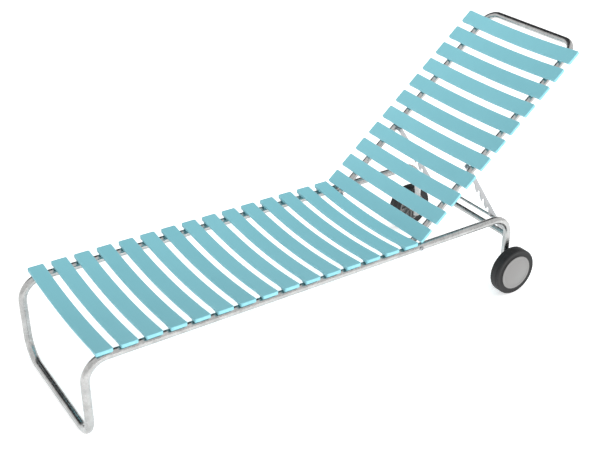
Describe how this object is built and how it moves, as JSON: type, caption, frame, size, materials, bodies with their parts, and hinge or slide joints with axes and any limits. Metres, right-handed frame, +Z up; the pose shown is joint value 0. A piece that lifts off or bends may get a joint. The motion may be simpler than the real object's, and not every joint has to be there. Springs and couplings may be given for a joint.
{
  "type": "reclining sun lounger",
  "caption": "Reclining sun lounger: bent tube frame, sagging moulded slats, a backrest held up by notched prop bars, a handle at the head and wheels on the rear legs.",
  "frame": {"origin": "on the ground under the middle of the lounger with the backrest raised, halfway between the wheels across", "axes": "+X from the foot end to the head end, +Y to the lounger's left, +Z up"},
  "size_m": [1.9434, 0.6576, 0.892],
  "materials": {
    "frame_steel": "galvanised",
    "bar_steel": "zinc plated flat bar",
    "fasteners": "plated",
    "slat_plastic": "satin turquoise moulding",
    "nylon": "natural nylon",
    "tyre_rubber": "black rubber",
    "hub_plastic": "satin grey moulding",
    "plug_plastic": "dark moulding"
  },
  "bodies": {
    "frame": {"main_frame": "frame_steel", "rear_cross_tube": "frame_steel", "catch_rod": "frame_steel", "seat_slat_01": "slat_plastic", "seat_slat_02": "slat_plastic", "seat_slat_03": "slat_plastic", "seat_slat_04": "slat_plastic", "seat_slat_05": "slat_plastic", "seat_slat_06": "slat_plastic", "seat_slat_07": "slat_plastic", "seat_slat_08": "slat_plastic", "seat_slat_09": "slat_plastic", "seat_slat_10": "slat_plastic", "seat_slat_11": "slat_plastic", "seat_slat_12": "slat_plastic", "seat_slat_13": "slat_plastic", "seat_slat_14": "slat_plastic", "seat_slat_15": "slat_plastic", "hinge_bolt_left": "fasteners", "hinge_bolt_right": "fasteners", "hinge_spacer_left": "nylon", "hinge_spacer_right": "nylon", "hinge_nut_left": "fasteners", "hinge_nut_right": "fasteners", "leg_plug_left": "plug_plastic", "leg_plug_right": "plug_plastic", "axle_bolt_left": "fasteners", "axle_bolt_right": "fasteners", "axle_washer_left": "nylon", "axle_washer_right": "nylon", "axle_nut_left": "fasteners", "axle_nut_right": "fasteners"},
    "backrest": {"backrest_frame": "frame_steel", "back_slat_01": "slat_plastic", "back_slat_02": "slat_plastic", "back_slat_03": "slat_plastic", "back_slat_04": "slat_plastic", "back_slat_05": "slat_plastic", "back_slat_06": "slat_plastic", "back_slat_07": "slat_plastic", "back_slat_08": "slat_plastic", "back_slat_09": "slat_plastic", "back_slat_10": "slat_plastic", "back_slat_11": "slat_plastic", "prop_pin_left": "fasteners", "prop_pin_right": "fasteners", "prop_cap_left": "fasteners", "prop_cap_right": "fasteners"},
    "prop_left": {"prop_bar_left": "bar_steel"},
    "prop_right": {"prop_bar_right": "bar_steel"},
    "wheel_left": {"tyre_left": "tyre_rubber", "wheel_core_left": "hub_plastic", "hub_disc_left": "hub_plastic"},
    "wheel_right": {"tyre_right": "tyre_rubber", "wheel_core_right": "hub_plastic", "hub_disc_right": "hub_plastic"}
  },
  "joints": [
    {"name": "backrest_tilt", "type": "hinge", "parent": "frame", "child": "backrest", "pos_m": [0.27216, 0, 0.295], "axis": [0, -1, 0], "range_deg": [-41.6, 0]},
    {"name": "prop_left_swing", "type": "hinge", "parent": "backrest", "child": "prop_left", "pos_m": [0.52542, 0.19, 0.5066], "axis": [0, -1, 0], "range_deg": [0, 96.5]},
    {"name": "prop_right_swing", "type": "hinge", "parent": "backrest", "child": "prop_right", "pos_m": [0.52542, -0.19, 0.5066], "axis": [0, -1, 0], "range_deg": [0, 96.5]},
    {"name": "wheel_left_spin", "type": "hinge", "parent": "frame", "child": "wheel_left", "pos_m": [0.68717, 0.305, 0.0885], "axis": [0, 1, 0], "continuous": true},
    {"name": "wheel_right_spin", "type": "hinge", "parent": "frame", "child": "wheel_right", "pos_m": [0.68717, -0.305, 0.0885], "axis": [0, 1, 0], "continuous": true}
  ],
  "couplings": [
    {"joint": "prop_left_swing", "follows": "backrest_tilt", "ratio": -2.3173},
    {"joint": "prop_right_swing", "follows": "backrest_tilt", "ratio": -2.3173}
  ]
}
